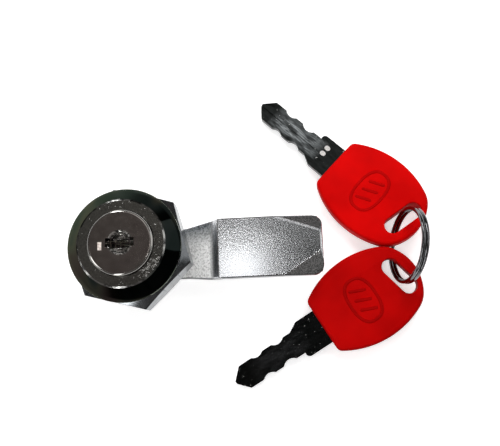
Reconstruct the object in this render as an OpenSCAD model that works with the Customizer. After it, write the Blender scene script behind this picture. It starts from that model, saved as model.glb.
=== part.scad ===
// Cam lock for a cabinet or post box door: a flanged, threaded lock body
// with a wafer plug, a cranked cam, its mounting nut and washers, and two
// plastic-headed keys on a split ring.
// The origin is the middle of the flange's underside, where it seats on the
// panel. +Z points out of the panel, towards the key side. +X is along the cam.

/* [Lock head] */
// Width across the flange at its widest edge
flange_d = 27.2; // [25.8:0.2:34]
// Height of the plain rim at the flange's edge
rim_h = 0.9; // [0.4:0.1:1.6]
// Height of the flat annular face above the panel seat
head_h = 3.9; // [3.4:0.1:6]
// Width across the flat annular face
face_d = 20.6; // [18:0.2:23]
// Rounding at the outer edge of the annular face
face_edge = 0.4; // [0.2:0.1:0.8]

/* [Barrel] */
// Thread size over the crests
thread_d = 22; // [20:0.5:24]
// Rise of the thread in one turn
thread_pitch = 1.5; // [1:0.25:2]
// Width across the two flats of the barrel
flats_w = 20.5; // [18.5:0.1:21.5]
// Length of the barrel below the flange
barrel_l = 15.5; // [15.5:0.5:30]
// Angle through which the plug turns
turn_angle = 90; // [60:5:120]
// Height of the stop rim on the barrel's end
stop_rim_h = 0.85; // [0.5:0.05:1.5]
// Width of the stop rim's wall
stop_rim_w = 2.2; // [1.6:0.1:2.6]

/* [Plug] */
// Width across the plug's round face
plug_face_d = 15.5; // [14.4:0.1:16.4]
// How far the plug's face stands above the annular face
plug_proud = 1.0; // [0.4:0.1:1.6]
// Thickness of the plug's face
plug_face_t = 2.5; // [1.6:0.1:3.2]
// Rounding at the edge of the plug's face
plug_edge = 0.65; // [0.2:0.05:0.8]
// Width across the plug's body
plug_d = 13.0; // [12.4:0.1:13.6]
// Gap all round between what turns and its bore
turn_gap = 0.08; // [0.04:0.01:0.12]
// Width across the flats of the square tail
tail_w = 7.0; // [6:0.1:8]
// Width across the tail's rounded corners
tail_d = 9.0; // [8:0.1:10]
// Gap between the key blade and its keyway
keyway_gap = 0.15; // [0.1:0.05:0.25]
// Width of the round recess at the keyway
lead_d = 4.4; // [4:0.1:6]
// Depth of the round recess at the keyway
lead_h = 2.2; // [0.8:0.1:3]
// Width of the sloping rim of the round recess
lead_rim = 0.45; // [0.2:0.05:0.7]

/* [Wafers] */
// Distance from one wafer to the next
wafer_pitch = 2.3; // [1.8:0.1:2.4]
// Thickness of a wafer
wafer_t = 1.0; // [0.8:0.05:1.2]
// Width of a wafer across its travel
wafer_w = 6.2; // [5.6:0.1:6.6]
// Travel of a wafer out of the plug
wafer_out = 0.6; // [0.4:0.05:0.7]
// Gap on each side of a wafer in its slot
wafer_gap = 0.08; // [0.04:0.01:0.12]
// Width of the wafer's spring over its coils
spring_d = 1.1; // [0.9:0.05:1.2]
// Length of the wafer's lug along its travel
lug_l = 1.0; // [0.8:0.1:1.4]

/* [Nut and washer] */
// Wall between the thread and the nut's flats
nut_wall = 2.5; // [2:0.1:5]
// How far the nut's round faces stay inside its flats
nut_face_in = 0.4; // [0.1:0.1:0.8]
// Thickness of the nut
nut_h = 7.5; // [4:0.5:8]
// Angle of the nut's first corner from the cam
nut_turn = 45; // [0:5:60]
// Gap left for the panel between the flange and the toothed washer
panel_gap = 2.1; // [0.5:0.1:5]
// Outer width of the toothed washer
tooth_d = 26.0; // [25.4:0.1:30]
// Thickness of the toothed washer
tooth_t = 0.9; // [0.6:0.1:1.2]
// Number of teeth round the toothed washer
tooth_n = 18; // [12:1:24]
// Gap between the thread's crests and what is over it
thread_gap = 0.06; // [0.04:0.01:0.1]
// Gap between one stacked piece and the next
seat_gap = 0.05; // [0.02:0.01:0.1]

/* [Cam] */
// Distance from the lock's axis to the cam's tip
cam_l = 47.6; // [44:0.2:60]
// Width of the cam's outer part
cam_w = 15.3; // [13:0.1:18]
// Width of the cam's neck
neck_w = 13.0; // [12:0.1:13]
// Thickness of the cam
cam_t = 3.2; // [2.4:0.1:3.6]
// Rise of the outer part towards the panel
cam_rise = 6.0; // [3:0.25:6.5]
// Width of the cam's round end at the lock
cam_hub_d = 15.6; // [14:0.2:18]
// Gap between the barrel's edge and the start of the cam's slope
slope_gap = 0.5; // [0.3:0.1:2]
// Distance from the lock's axis to the bend of the outer part
slope_x1 = 21.0; // [18:0.2:24]
// Length of the steep step beside the bend
step_l = 1.7; // [1:0.1:2.6]
// Height of the steep step beside the bend
step_h = 2.0; // [1:0.1:2.6]
// Rounding of the tip's corners in plan
cam_corner = 2.6; // [1.5:0.1:4]
// Length of the tip's longer bevel along its side
bevel_l = 12.4; // [8:0.1:14]
// Width of the tip's longer bevel across the tip
bevel_w = 4.4; // [3:0.1:6]
// Length of the tip's wider bevel along its side
wide_bevel_l = 10.4; // [8:0.1:14]
// Width of the tip's wider bevel across the tip
wide_bevel_w = 6.4; // [3:0.1:7]
// Drop of the bevels at the tip's corners
bevel_h = 1.5; // [0.6:0.1:1.6]
// Gap between the cam's square hole and the tail
square_gap = 0.08; // [0.05:0.01:0.15]

/* [Cam screw] */
// Size of the screw's thread
screw_d = 5; // [4:0.5:5]
// Width across the screw head's flats
screw_af = 8; // [7:0.5:10]
// Height of the screw's head
screw_head_h = 2.2; // [1.6:0.1:3.5]
// Length of thread in the plug
screw_grip = 3.2; // [2:0.1:3.4]
// Outer width of the screw's spring washer
spring_washer_d = 9.0; // [8:0.1:10]
// Thickness of the screw's spring washer
spring_washer_t = 0.7; // [0.6:0.1:1.2]

/* [Stop washer] */
// Width across the stop washer's round part
stop_d = 16.0; // [14:0.1:16.8]
// Thickness of the stop washer
stop_t = 0.9; // [0.7:0.05:1.4]
// Width of the stop washer's ear as an angle
ear_angle = 30; // [20:1:40]

/* [Keys] */
// Length of the blade's cut part, from shoulder to tip
blade_l = 19.6; // [18:0.1:19.8]
// Width of the blade
blade_w = 6.4; // [5.8:0.1:7]
// Thickness of the blade
blade_t = 1.8; // [1.5:0.1:2.2]
// Length of the shoulder between the blade and the head
shoulder_l = 7.4; // [5:0.1:9]
// Width of the shoulder
shoulder_w = 9.4; // [8.4:0.1:10]
// Rounding of the shoulder's corners
shoulder_r = 1.1; // [0.6:0.1:1.4]
// Length of the slope that leads into the shoulder on one side
shoulder_slope = 1.2; // [0.6:0.1:2]
// Radius of the wavy cuts in the blade's edges
cut_r = 2.6; // [2:0.1:3.2]
// Width of the guide groove along each face
groove_w = 1.2; // [0.8:0.1:1.6]
// Depth of the guide groove
groove_h = 0.45; // [0.3:0.05:0.6]
// Distance from the blade's middle to the groove's middle
groove_off = 0.75; // [0.4:0.05:1.2]
// Length of the shank inside the head
shank_l = 12; // [8:0.5:15]
// Length of the key's head
grip_l = 28.3; // [26:0.1:32]
// Width of the key's head
grip_w = 22.8; // [20:0.1:25]
// Thickness of the key's head
grip_t = 4.5; // [3.6:0.1:5.5]
// Radius of the head's long sides
grip_side_r = 23.7; // [21:0.1:28]
// Radius of the head's rear edge
grip_end_r = 11.9; // [10.5:0.1:16]
// Rounding between the head's sides and its rear edge
grip_corner_r = 7; // [4:0.1:9]
// Rounding of the head's two front corners
grip_front_r = 1.8; // [1.5:0.1:4]
// Bevel round the edges of the key's head
grip_bevel = 0.7; // [0.3:0.1:1.2]
// Length of the ring slot over its round ends
slot_l = 10.8; // [9:0.1:12]
// Width of the ring slot
slot_w = 4.2; // [3.6:0.1:4.6]
// Wall between the ring slot and the head's end
slot_wall = 2.7; // [2.2:0.1:4]
// Slant of the ring slot from square across the head
slot_lean = 12; // [0:1:15]

/* [Split ring] */
// Outer width of the split ring
ring_d = 19.6; // [18.6:0.1:20.6]
// Thickness of the ring's wire
ring_wire = 1.1; // [0.9:0.05:1.2]
// Lean of the ring from lying flat
ring_lean = 74; // [72:1:78]
// Distance from the lock's axis to the ring, along the cam
ring_x = 68.9; // [66:0.1:90]
// Distance from the lock's axis to the ring, across the cam
ring_y = -1.1; // [-2:0.1:2]

/* [Hidden] */
$fn = 72;

// Length of the helper shapes that reach past every piece
far = 80;

// Heights down the lock's axis
plug_top = head_h + plug_proud;
plug_seat = plug_top - plug_face_t;
tooth_z = -panel_gap - tooth_t;
nut_af = thread_d + 2 * nut_wall;
nut_z = tooth_z - seat_gap - nut_h;
stop_z = -barrel_l - seat_gap - stop_t;
cam_z = min(stop_z, -barrel_l - stop_rim_h) - seat_gap - cam_t;
spring_washer_z = cam_z - seat_gap - spring_washer_t;
floor_z = spring_washer_z - seat_gap - screw_head_h;
tail_end = cam_z + 0.2;
slope_x0 = thread_d / 2 + slope_gap;
thread_depth = 0.61 * thread_pitch;
bore_r = plug_d / 2 + turn_gap;
groove_r = plug_d / 2 + wafer_out + 0.25;
slot_r = wafer_w / 2 + wafer_gap;

// Keyway and wafers
wafer_n = 6;
keyway_h = blade_t + 2 * keyway_gap;
keyway_w = blade_w + 2 * keyway_gap;
keyway_end = plug_top - blade_l - 0.25;
wafer_z0 = plug_seat - 2.6;
wafer_side = [for (i = [0:5]) (i % 2 == 0) ? 0 : 180];
pocket_w = spring_d + 0.2;
lug_x = -plug_d / 2 + 3.4;
pocket_x0 = lug_x - wafer_out - 0.2;
pocket_x1 = 3.0;

// Each cut in the blade's edges: distance from the shoulder, side, depth
blade_cuts = [[4.6, 1, 0.9], [10.9, 1, 0.75], [4.6, -1, 0.75], [10.9, -1, 0.65]];
spring_wire = 0.2;

// Keys: rest attitude of each key on the floor, tip down, head on the ring
ring_r = (ring_d - ring_wire) / 2;
ring_turns = 2 * ring_wire - 0.1;
ring_rise = ring_wire / 2 * sin(ring_lean) + (ring_turns / 2) * cos(ring_lean);
ring_yaw = -97;
ring_z = floor_z + ring_rise + ring_r * sin(ring_lean);
key_reach = blade_l + shoulder_l;
slot_s = grip_l - slot_wall - slot_w / 2;
head_clear = 2 * ring_rise + 0.75;
key_tilt = asin((head_clear + (grip_t - blade_t) / 2) / (key_reach + slot_s));
key_z = floor_z + 0.05 + key_reach * sin(key_tilt) + blade_t / 2 * cos(key_tilt);
// Each key's slot from the ring's middle in ring radii, its turn and its flip
key_pose = [[0.005, 0.810, -44.9, 0], [-0.220, -0.787, 30.4, 180]];

module rounded_disc(r, z0, z1, edge) {
    rotate_extrude() {
        translate([0, z0]) square([r, z1 - edge - z0]);
        translate([0, z0]) square([r - edge, z1 - z0]);
        translate([r - edge, z1 - edge]) intersection() {
            circle(r = edge, $fn = 32);
            square([edge, edge]);
        }
    }
}

// A round bar with two opposite flats
module double_d(r, across, h) {
    intersection() {
        cylinder(r = r, h = h);
        translate([-across / 2, -r, 0]) cube([across, 2 * r, h]);
    }
}

// A square bar with rounded corners, as on the plug's tail
module square_bar(w, d, h) {
    intersection() {
        cylinder(d = d, h = h);
        translate([-w / 2, -w / 2, 0]) cube([w, w, h]);
    }
}

// A sector of a disc from angle a0 to a1, under 180 degrees
module wedge(r, a0, a1, h) {
    am = (a0 + a1) / 2;
    k = r / cos((a1 - a0) / 4);
    linear_extrude(height = h)
        polygon([[0, 0], r * [cos(a0), sin(a0)],
            k * [cos((a0 + am) / 2), sin((a0 + am) / 2)],
            k * [cos((am + a1) / 2), sin((am + a1) / 2)],
            r * [cos(a1), sin(a1)]]);
}

// Threaded barrel at the size of its crests, with two flats and a lead-in of
// one thread's depth at the open end
module barrel() {
    r = thread_d / 2;
    intersection() {
        translate([0, 0, -barrel_l]) rotate([0, 0, 90]) double_d(r, flats_w, barrel_l + 0.1);
        rotate_extrude() polygon([
            [0, -barrel_l - 1], [r - 2 * thread_depth, -barrel_l - 1],
            [r - thread_depth, -barrel_l], [r + thread_depth, -barrel_l + 2 * thread_depth],
            [r + thread_depth, 1], [0, 1]]);
    }
}

module lock_body() {
    gap = turn_angle + ear_angle + 3;
    color([0.16, 0.16, 0.17]) difference() {
        union() {
            rotate_extrude() polygon([
                [0, 0], [flange_d / 2 - 0.3, 0], [flange_d / 2, 0.3],
                [flange_d / 2, rim_h], [face_d / 2 + face_edge / 2, head_h - face_edge / 2],
                [face_d / 2 - face_edge / 2, head_h], [0, head_h]]);
            barrel();
            // Stop rim round the open end, left out where the ear swings
            translate([0, 0, -barrel_l - stop_rim_h]) difference() {
                rotate([0, 0, 90]) double_d(thread_d / 2 - 0.3, flats_w, stop_rim_h + 0.1);
                translate([0, 0, -1]) cylinder(r = thread_d / 2 - stop_rim_w, h = stop_rim_h + 2);
                translate([0, 0, -1]) rotate([0, 0, 180 - ear_angle / 2 - 1.5])
                    wedge(thread_d, 0, gap, stop_rim_h + 1);
            }
        }
        translate([0, 0, plug_seat]) cylinder(r = plug_face_d / 2 + turn_gap, h = head_h);
        translate([0, 0, -barrel_l - 1]) cylinder(r = bore_r, h = barrel_l + head_h);
        // Wafer grooves, one at each quarter turn, open at the barrel's end
        for (a = [0, 90])
            rotate([0, 0, a])
                translate([0, 0, -barrel_l - 1]) intersection() {
                    cylinder(r = groove_r, h = barrel_l + 1 + wafer_z0 + 1.4);
                    translate([-far / 2, -slot_r - 0.12, 0]) cube([far, 2 * slot_r + 0.24, far]);
                }
    }
}

module wafer_slot(i) {
    rotate([0, 0, wafer_side[i]])
        translate([0, 0, wafer_z0 - i * wafer_pitch - wafer_gap]) {
            translate([-plug_d, -slot_r, 0]) cube([2 * plug_d, 2 * slot_r, wafer_t + 2 * wafer_gap]);
            translate([pocket_x0, slot_r - 0.1, 0])
                cube([pocket_x1 - pocket_x0, pocket_w + 0.1, max(wafer_t, spring_d) + 2 * wafer_gap]);
        }
}

module plug() {
    color([0.30, 0.28, 0.27]) difference() {
        union() {
            rounded_disc(plug_face_d / 2, plug_seat + seat_gap, plug_top, plug_edge);
            translate([0, 0, -barrel_l]) cylinder(d = plug_d, h = barrel_l + plug_seat + seat_gap + 0.1);
            translate([0, 0, tail_end]) square_bar(tail_w, tail_d, -barrel_l - tail_end + 0.1);
        }
        translate([-keyway_w / 2, -keyway_h / 2, keyway_end])
            cube([keyway_w, keyway_h, plug_top - keyway_end + 1]);
        // Round recess with its sloping rim
        rotate_extrude() polygon([
            [0, plug_top - lead_h], [lead_d / 2, plug_top - lead_h], [lead_d / 2, plug_top - lead_rim],
            [lead_d / 2 + 2 * lead_rim, plug_top + lead_rim], [0, plug_top + lead_rim]]);
        for (i = [0:wafer_n - 1]) wafer_slot(i);
        translate([0, 0, tail_end - 1]) cylinder(d = screw_d, h = screw_grip + 1.2);
    }
}

// Wafer i in the plug, held flush by its key cut; it springs out along -X
module wafer(i) {
    color([0.78, 0.62, 0.30])
    rotate([0, 0, wafer_side[i]])
        translate([0, 0, wafer_z0 - i * wafer_pitch]) difference() {
            union() {
                intersection() {
                    cylinder(r = plug_d / 2 - 0.05, h = wafer_t);
                    translate([-plug_d, -wafer_w / 2, 0]) cube([2 * plug_d, wafer_w, wafer_t]);
                }
                translate([lug_x, 0, 0]) cube([lug_l, slot_r + pocket_w - wafer_gap - 0.1, wafer_t]);
            }
            translate([-keyway_w / 2 - 0.1, -keyway_h / 2 - 0.1, -1])
                cube([keyway_w + wafer_out + 0.3, keyway_h + 0.2, wafer_t + 2]);
        }
}

module wafer_1() { wafer(0); }
module wafer_2() { wafer(1); }
module wafer_3() { wafer(2); }
module wafer_4() { wafer(3); }
module wafer_5() { wafer(4); }
module wafer_6() { wafer(5); }

// One short spring beside each wafer, between its lug and the pocket's end
module wafer_springs() {
    color([0.7, 0.7, 0.72])
    for (i = [0:wafer_n - 1])
        rotate([0, 0, wafer_side[i]])
            translate([lug_x + lug_l + 0.05, slot_r + pocket_w / 2,
                    wafer_z0 - i * wafer_pitch + spring_d / 2])
                rotate([0, 90, 0]) difference() {
                    cylinder(d = spring_d, h = pocket_x1 - lug_x - lug_l - 0.1, $fn = 24);
                    translate([0, 0, -1]) cylinder(d = spring_d - 2 * spring_wire, h = far, $fn = 24);
                }
}

module toothed_washer() {
    step = 360 / tooth_n;
    root_r = thread_d / 2 + thread_gap + 1.0;
    color([0.62, 0.62, 0.64]) translate([0, 0, tooth_z]) difference() {
        union() {
            cylinder(r = root_r, h = tooth_t);
            for (k = [0:tooth_n - 1])
                rotate([0, 0, k * step]) linear_extrude(height = tooth_t)
                    polygon([[root_r - 0.4, -root_r * sin(step * 0.30)],
                        [tooth_d / 2, -tooth_d / 2 * sin(step * 0.22)],
                        [tooth_d / 2, tooth_d / 2 * sin(step * 0.22)],
                        [root_r - 0.4, root_r * sin(step * 0.30)]]);
        }
        translate([0, 0, -1]) cylinder(r = thread_d / 2 + thread_gap + 0.1, h = tooth_t + 2);
    }
}

module hex_nut() {
    corner_r = nut_af / sqrt(3);
    flat_r = nut_af / 2 - nut_face_in;
    out_r = corner_r + 0.4;
    slope_h = (out_r - flat_r) * tan(30);
    color([0.55, 0.55, 0.57]) translate([0, 0, nut_z]) difference() {
        intersection() {
            rotate([0, 0, nut_turn]) cylinder(r = corner_r, h = nut_h, $fn = 6);
            // Chamfered corners on both faces
            rotate_extrude() polygon([[0, 0], [flat_r, 0], [out_r, slope_h],
                [out_r, nut_h - slope_h], [flat_r, nut_h], [0, nut_h]]);
        }
        translate([0, 0, -1]) cylinder(r = thread_d / 2 + thread_gap, h = nut_h + 2);
        // Countersinks of one thread's depth
        translate([0, 0, -0.01])
            cylinder(r1 = thread_d / 2 + thread_depth, r2 = thread_d / 2, h = thread_depth);
        translate([0, 0, nut_h - thread_depth + 0.01])
            cylinder(r1 = thread_d / 2, r2 = thread_d / 2 + thread_depth, h = thread_depth);
    }
}

module stop_washer() {
    color([0.66, 0.66, 0.68]) translate([0, 0, stop_z]) difference() {
        union() {
            cylinder(d = stop_d, h = stop_t);
            intersection() {
                cylinder(r = thread_d / 2 - 0.5, h = stop_t);
                rotate([0, 0, 180 - ear_angle / 2]) wedge(thread_d, 0, ear_angle, stop_t);
            }
        }
        translate([0, 0, -1]) square_bar(tail_w + 2 * square_gap, tail_d + 2 * square_gap, stop_t + 2);
    }
}

module cam() {
    z0 = cam_z;
    z1 = cam_z + cam_rise;
    zs = z1 - step_h;
    xs = slope_x1 - step_l;
    w = cam_w / 2;
    color([0.70, 0.71, 0.72]) difference() {
        union() {
            translate([0, 0, z0]) cylinder(d = cam_hub_d, h = cam_t);
            intersection() {
                // Side profile: hub, slope, steep step and outer part
                rotate([90, 0, 0]) translate([0, 0, -cam_w]) linear_extrude(height = 2 * cam_w)
                    polygon([[0, z0], [slope_x0 + 0.9, z0], [xs + 1.0, zs - 0.4],
                        [slope_x1 + 1.1, z1 - 0.1], [slope_x1 + 1.8, z1],
                        [cam_l - 0.5, z1], [cam_l, z1 + 0.5],
                        [cam_l, z1 + cam_t - 0.7], [cam_l - 0.7, z1 + cam_t],
                        [slope_x1, z1 + cam_t], [xs + 0.3, zs + cam_t + 0.35],
                        [xs - 0.5, zs + cam_t - 0.1], [slope_x0, z0 + cam_t], [0, z0 + cam_t]]);
                // Plan outline: narrow neck, wide outer part, rounded tip
                translate([0, 0, z0 - 1]) union() {
                    linear_extrude(height = cam_rise + cam_t + 2)
                        polygon([[0, -neck_w / 2], [slope_x0 + 1, -neck_w / 2], [slope_x1 - 1, -w + 0.15],
                            [slope_x1 + 1, -w], [cam_l - cam_corner, -w], [cam_l - cam_corner, w],
                            [slope_x1 + 1, w], [slope_x1 - 1, w - 0.15], [slope_x0 + 1, neck_w / 2],
                            [0, neck_w / 2]]);
                    translate([cam_l - cam_corner - 1, -w + cam_corner, 0])
                        cube([cam_corner + 1, cam_w - 2 * cam_corner, cam_rise + cam_t + 2]);
                    for (s = [-1, 1])
                        translate([cam_l - cam_corner, s * (w - cam_corner), 0])
                            cylinder(r = cam_corner, h = cam_rise + cam_t + 2, $fn = 32);
                }
            }
        }
        translate([0, 0, z0 - 1]) square_bar(tail_w + 2 * square_gap, tail_d + 2 * square_gap, cam_t + 2);
        // Lead-in bevels on the two corners of the tip
        bevel_cut(1, bevel_l, bevel_w);
        bevel_cut(-1, wide_bevel_l, wide_bevel_w);
    }
}

// Sloping cut of length l and width w across the tip's corner on side s
module bevel_cut(s, l, w) {
    a = atan2(w, l);
    translate([cam_l - l, s * cam_w / 2, cam_z + cam_rise + cam_t]) rotate([0, 0, -s * a])
        rotate([-s * atan2(bevel_h, l * sin(a)), 0, 0])
            translate([-cam_w / 2, s > 0 ? 0 : -cam_w, 0]) cube([l + cam_w, cam_w, cam_t]);
}

module spring_washer() {
    color([0.6, 0.6, 0.62]) translate([0, 0, spring_washer_z]) difference() {
        cylinder(d = spring_washer_d, h = spring_washer_t);
        translate([0, 0, -1]) cylinder(d = screw_d + 0.1, h = spring_washer_t + 2);
        rotate([0, 0, 200]) translate([1, -0.25, -1]) cube([10, 0.5, 5]);
    }
}

module cam_screw() {
    corner_r = screw_af / sqrt(3);
    flat_r = screw_af * 0.48;
    out_r = corner_r + 0.2;
    color([0.62, 0.62, 0.64]) {
        translate([0, 0, floor_z]) intersection() {
            rotate([0, 0, 15]) cylinder(r = corner_r, h = screw_head_h, $fn = 6);
            rotate_extrude() polygon([[0, 0], [flat_r, 0], [out_r, (out_r - flat_r) * tan(30)],
                [out_r, screw_head_h], [0, screw_head_h]]);
        }
        translate([0, 0, floor_z + screw_head_h - 0.1])
            cylinder(d = screw_d - 0.1, h = tail_end + screw_grip - floor_z - screw_head_h + 0.1);
    }
}

// Places a key: local +X runs from the blade's tip to the head, with the
// local origin in the middle of the blade where it enters the head
module key_place(k) {
    translate([ring_x + ring_r * key_pose[k][0], ring_y + ring_r * key_pose[k][1], key_z])
        rotate([0, 0, key_pose[k][2]]) translate([-slot_s * cos(key_tilt), 0, 0])
            rotate([0, -key_tilt, 0]) rotate([key_pose[k][3], 0, 0]) children();
}

// Points of an arc about c from angle a0 to a1
function arc(c, r, a0, a1, n = 8) =
    [for (i = [0:n]) c + r * [cos(a0 + (a1 - a0) * i / n), sin(a0 + (a1 - a0) * i / n)]];

// The metal key cut from flat stock: shank, shoulder with rounded corners
// and pointed blade, with the wavy cuts on both edges
module blade_blank() {
    h = blade_w / 2;
    s = shoulder_w / 2;
    r = shoulder_r;
    tip = [-key_reach, 0];
    difference() {
        linear_extrude(height = blade_t) polygon(concat(
            [[-shoulder_l - shoulder_slope / 2, -h], tip + [h, -h], tip + [0.4, -0.4],
                tip + [0.4, 0.4], tip + [h, h], [-shoulder_l, h]],
            arc([-shoulder_l + r, s - r], r, 180, 90),
            [[shank_l, s], [shank_l, -s]],
            arc([-shoulder_l + shoulder_slope + r, r - s], r, 270, 225)));
        for (c = blade_cuts)
            translate([-shoulder_l - c[0], c[1] * (h + cut_r - c[2]), -1])
                cylinder(r = cut_r, h = blade_t + 2, $fn = 48);
    }
}

module key_blade() {
    color([0.33, 0.34, 0.35]) difference() {
        translate([0, 0, -blade_t / 2]) blade_blank();
        // Guide groove along each face, off its middle, with a milled run-out
        for (face = [0, 180])
            rotate([face, 0, 0]) translate([0, -groove_off, blade_t / 2 - groove_h]) {
                translate([-key_reach - 1, -groove_w / 2, 0])
                    cube([blade_l + 1, groove_w, groove_h + 1]);
                translate([-shoulder_l, 0, 0]) cylinder(d = groove_w, h = groove_h + 1);
            }
    }
}

// Where two circles about a and b, of radii ra and rb, cross nearer the rear
function cross_at(a, ra, b, rb) =
    let (d = norm(b - a), u = (b - a) / d, m = (ra * ra - rb * rb + d * d) / (2 * d),
        h = sqrt(ra * ra - m * m), n = [-u[1], u[0]],
        p = a + m * u + h * n, q = a + m * u - h * n)
    p[0] > q[0] ? p : q;

// The key's head: two long side arcs and a rear arc, joined by tangent corner
// arcs, and a straight front
mid_s = grip_l * 0.47;
side_c = [mid_s, grip_w / 2 - grip_side_r];
end_c = [grip_l - grip_end_r, 0];
// How far the corners' arcs stand past the edges they round
corner_nip = 0.02;
corner_c = cross_at(end_c, grip_end_r - grip_corner_r + corner_nip,
    side_c, grip_side_r - grip_corner_r + corner_nip);

// A disc as thick as the head, with its edges bevelled
module coin(r) {
    h = grip_t / 2;
    b = grip_bevel;
    rotate_extrude($fn = 144)
        polygon([[0, -h], [r - b, -h], [r, b - h], [r, h - b], [r - b, h], [0, h]]);
}

// The corner between two arcs: what lies outside both touching directions
// from its centre and beyond its own disc is taken off
module off_corner(at, r, u, v) {
    difference() {
        translate([0, 0, -grip_t]) linear_extrude(height = 2 * grip_t)
            polygon([at, at + grip_w * u, at + grip_w * (u + v), at + grip_w * v]);
        translate([at[0], at[1], 0]) coin(r);
    }
}

module grip_body() {
    h = grip_t / 2;
    b = grip_bevel;
    front_x = grip_front_r - corner_nip;
    front_y = sqrt(pow(grip_side_r - front_x, 2) - pow(mid_s - front_x, 2)) + side_c[1];
    front = [front_x, front_y];
    to_side = (corner_c - side_c) / norm(corner_c - side_c);
    to_end = (corner_c - end_c) / norm(corner_c - end_c);
    off_side = (front - side_c) / norm(front - side_c);
    difference() {
        intersection() {
            at_side(1) coin(grip_side_r);
            at_side(-1) coin(grip_side_r);
            // Round rear edge, with the full width in front of it
            union() {
                translate([end_c[0], 0, 0]) coin(grip_end_r);
                translate([end_c[0] - far, -far / 2, -h]) cube([far, far, grip_t]);
            }
            // Straight front edge
            rotate([90, 0, 0]) translate([0, 0, -grip_w]) linear_extrude(height = 2 * grip_w)
                polygon([[b, -h], [far, -h], [far, h], [b, h], [0, h - b], [0, b - h]]);
        }
        for (s = [0, 1]) mirror([0, s, 0]) {
            off_corner(corner_c, grip_corner_r, to_side, to_end);
            off_corner(front, grip_front_r, [-1, 0], off_side);
        }
    }
}

module at_side(s) {
    translate([side_c[0], s * side_c[1], 0]) children();
}

module key_head() {
    color([0.85, 0.05, 0.04]) difference() {
        grip_body();
        translate([slot_s, 0, 0]) rotate([0, 0, -slot_lean]) {
            for (s = [-1, 1])
                translate([0, s * (slot_l - slot_w) / 2, -grip_t])
                    cylinder(d = slot_w, h = 2 * grip_t, $fn = 48);
            translate([-slot_w / 2, -(slot_l - slot_w) / 2, -grip_t])
                cube([slot_w, slot_l - slot_w, 2 * grip_t]);
        }
        translate([-1, -shoulder_w / 2 - 0.02, -blade_t / 2 - 0.02])
            cube([shank_l + 1.02, shoulder_w + 0.04, blade_t + 0.04]);
    }
}

module key_blade_1() { key_place(0) key_blade(); }
module key_head_1() { key_place(0) key_head(); }
module key_blade_2() { key_place(1) key_blade(); }
module key_head_2() { key_place(1) key_head(); }

// Two turns of round wire pressed together, each turn opened at one end
module split_ring() {
    color([0.5, 0.5, 0.52])
    translate([ring_x, ring_y, ring_z]) rotate([0, 0, ring_yaw]) rotate([ring_lean, 0, 0])
        difference() {
            rotate_extrude() translate([ring_r, 0]) {
                translate([0, ring_turns / 2 - ring_wire / 2]) circle(d = ring_wire, $fn = 24);
                translate([0, ring_wire / 2 - ring_turns / 2]) circle(d = ring_wire, $fn = 24);
            }
            for (s = [0, 1])
                rotate([0, 0, 60 + 14 * s]) translate([ring_r, 0, s == 0 ? 1.05 : -1.05])
                    cube([3, 0.4, 2], center = true);
        }
}

lock_body();
plug();
wafer_1();
wafer_2();
wafer_3();
wafer_4();
wafer_5();
wafer_6();
wafer_springs();
toothed_washer();
hex_nut();
stop_washer();
cam();
spring_washer();
cam_screw();
key_blade_1();
key_head_1();
key_blade_2();
key_head_2();
split_ring();
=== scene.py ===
"""The looks of a cam lock with its two keys on a split ring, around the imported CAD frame."""

import math

import bmesh
import bpy
from mathutils import Matrix, Vector
from mathutils.geometry import tessellate_polygon

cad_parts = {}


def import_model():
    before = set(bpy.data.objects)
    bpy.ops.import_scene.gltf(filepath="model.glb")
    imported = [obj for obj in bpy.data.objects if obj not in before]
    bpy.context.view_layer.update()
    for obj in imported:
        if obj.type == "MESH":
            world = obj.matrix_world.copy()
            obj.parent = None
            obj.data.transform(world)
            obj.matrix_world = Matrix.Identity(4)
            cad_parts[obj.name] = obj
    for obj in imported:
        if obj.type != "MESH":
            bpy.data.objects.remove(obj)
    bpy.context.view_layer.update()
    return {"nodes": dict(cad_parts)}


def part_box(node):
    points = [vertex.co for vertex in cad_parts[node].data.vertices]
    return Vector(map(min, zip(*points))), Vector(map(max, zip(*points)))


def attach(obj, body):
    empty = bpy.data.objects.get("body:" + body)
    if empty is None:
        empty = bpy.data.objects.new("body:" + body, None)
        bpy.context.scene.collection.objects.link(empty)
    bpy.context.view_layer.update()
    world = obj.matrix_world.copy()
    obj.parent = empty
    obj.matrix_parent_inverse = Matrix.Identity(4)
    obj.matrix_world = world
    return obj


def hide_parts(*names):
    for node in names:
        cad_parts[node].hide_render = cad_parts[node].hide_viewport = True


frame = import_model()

MM = 0.001
NODES = frame["nodes"]

# Camera: place, direction and lens that match the photograph's view
CAMERA_AT = Vector((0.03784, -0.02477, 0.14437))
CAMERA_FORWARD = Vector((-0.05317, 0.19497, -0.97937))
CAMERA_UP = Vector((0.04915, 0.98008, 0.19244))
SENSOR_WIDTH = 36.0
LENS = 44.9

# The table that the object lies on, at the height of its lowest piece, in millimetres
FLOOR_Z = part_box("cam_screw")[0].z / MM

# Split ring, in millimetres: its place, its turn, its lean from lying flat, its outer width, its wire,
# how far its two turns are pressed together, the gap that their flattened wire leaves between them,
# and the angle at which the lower turn starts
RING_AT = (68.9, -1.1)
RING_YAW = math.radians(-97)
RING_LEAN = math.radians(74)
RING_D = 19.6
RING_WIRE = 1.1
RING_PRESS = 0.1
RING_GAP = 0.01
RING_START = math.radians(290)
RING_R = (RING_D - RING_WIRE) / 2
RING_RISE = RING_WIRE / 2 * math.sin(RING_LEAN) + (2 * RING_WIRE - RING_PRESS) / 2 * math.cos(RING_LEAN)
RING_Z = FLOOR_Z + RING_RISE + RING_R * math.sin(RING_LEAN)

# Keys: each key's slot from the ring's middle in ring radii, its turn and its flip in degrees
KEY_POSES = [(0.005, 0.810, -44.9, 0), (-0.220, -0.787, 30.4, 180)]

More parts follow.
